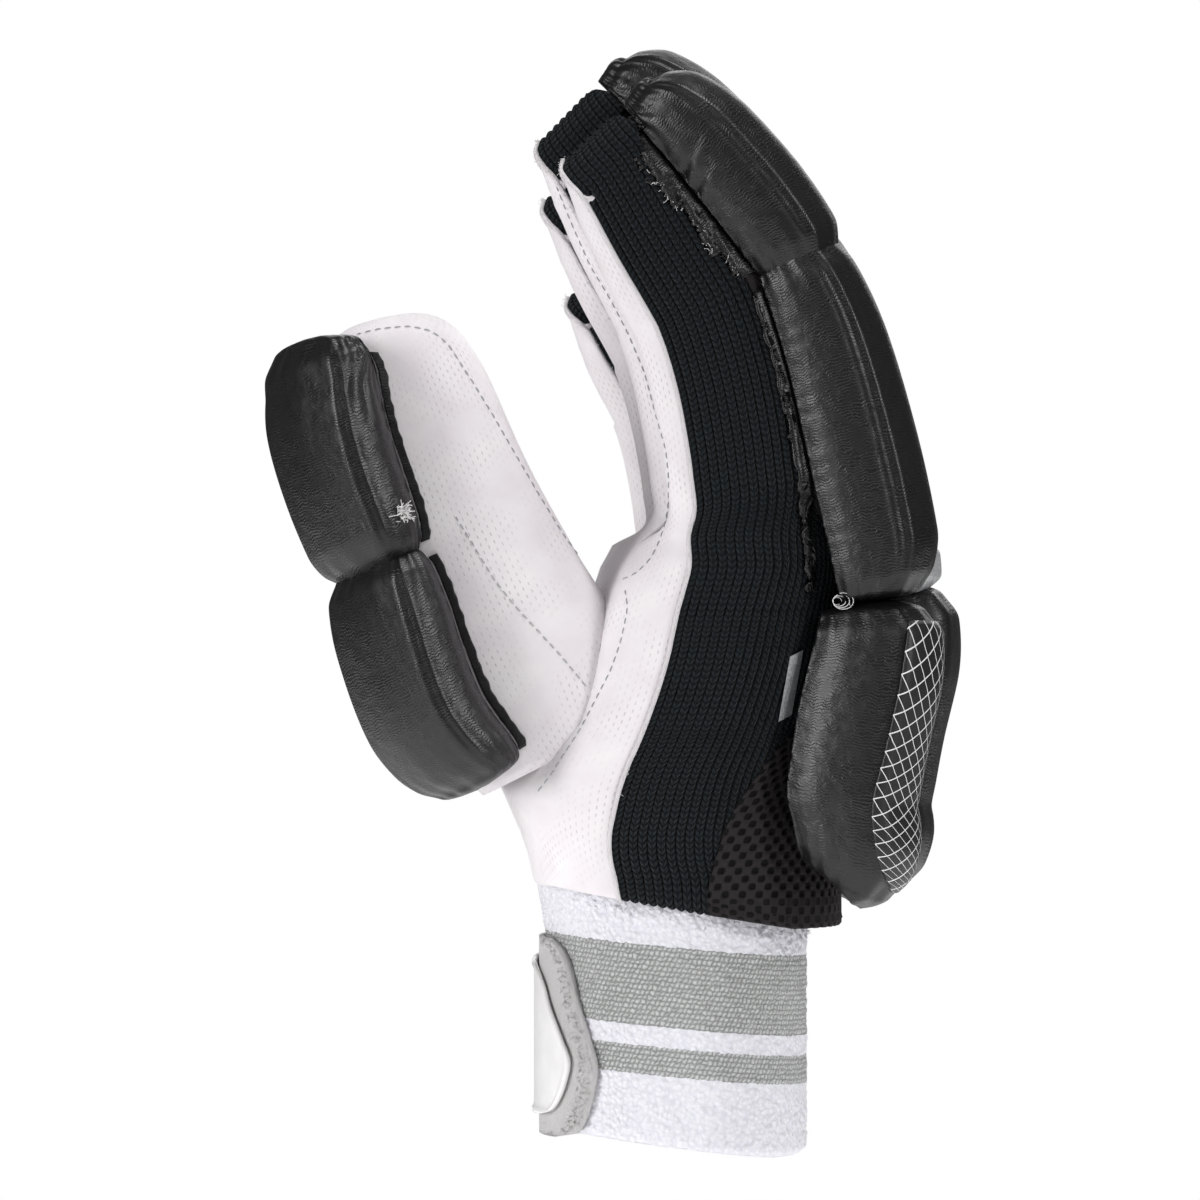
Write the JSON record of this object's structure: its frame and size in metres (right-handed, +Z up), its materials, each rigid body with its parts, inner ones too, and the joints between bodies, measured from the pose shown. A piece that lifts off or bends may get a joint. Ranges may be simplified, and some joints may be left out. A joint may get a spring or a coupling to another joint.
{
  "type": "cricket batting glove",
  "caption": "Padded right-hand cricket batting glove, empty and open at the wrist, with sewn finger and thumb pads, a ribbed knit side, leather palm and strapped towelling cuff.",
  "frame": {"origin": "middle of the wrist opening, where the forearm goes in", "axes": "+Z up from the cuff to the fingertips, -X the palm side, -Y the thumb side"},
  "size_m": [0.172, 0.1054, 0.28],
  "materials": {
    "white_leather": "matt, fine rows of pricked holes",
    "black_pad": "satin coated cloth with fine grain",
    "backing_cloth": "matt woven tape",
    "ribbed_knit": "matt ribbed knit",
    "air_mesh": "coarse open mesh",
    "towelling": "brushed towelling with grey bands",
    "loop_cloth": "fine loop pile",
    "white_rubber": "smooth, satin",
    "net_print": "satin with a printed white diamond net",
    "silver_cloth": "satin silver grey"
  },
  "bodies": {
    "root": {"palm_leather": "white_leather", "thumb_sleeve": "white_leather", "back_panel": "backing_cloth", "wrist_mesh": "air_mesh", "knit_index": "ribbed_knit", "knit_middle": "ribbed_knit", "knit_ring": "ribbed_knit", "knit_little": "ribbed_knit", "finger_pad_index": "black_pad", "tip_pad_index": "black_pad", "finger_pad_middle": "black_pad", "tip_pad_middle": "black_pad", "finger_pad_ring": "black_pad", "tip_pad_ring": "black_pad", "finger_pad_little": "black_pad", "tip_pad_little": "black_pad", "hand_pad_thumb_side": "black_pad", "hand_pad_middle": "black_pad", "knuckle_patch": "silver_cloth", "hand_pad_outer": "black_pad", "thumb_pad": "black_pad", "thumb_tip_pad": "black_pad", "cuff": "towelling", "strap": "loop_cloth", "strap_patch": "white_rubber", "net_panel": "net_print", "side_tab": "silver_cloth"}
  },
  "joints": []
}
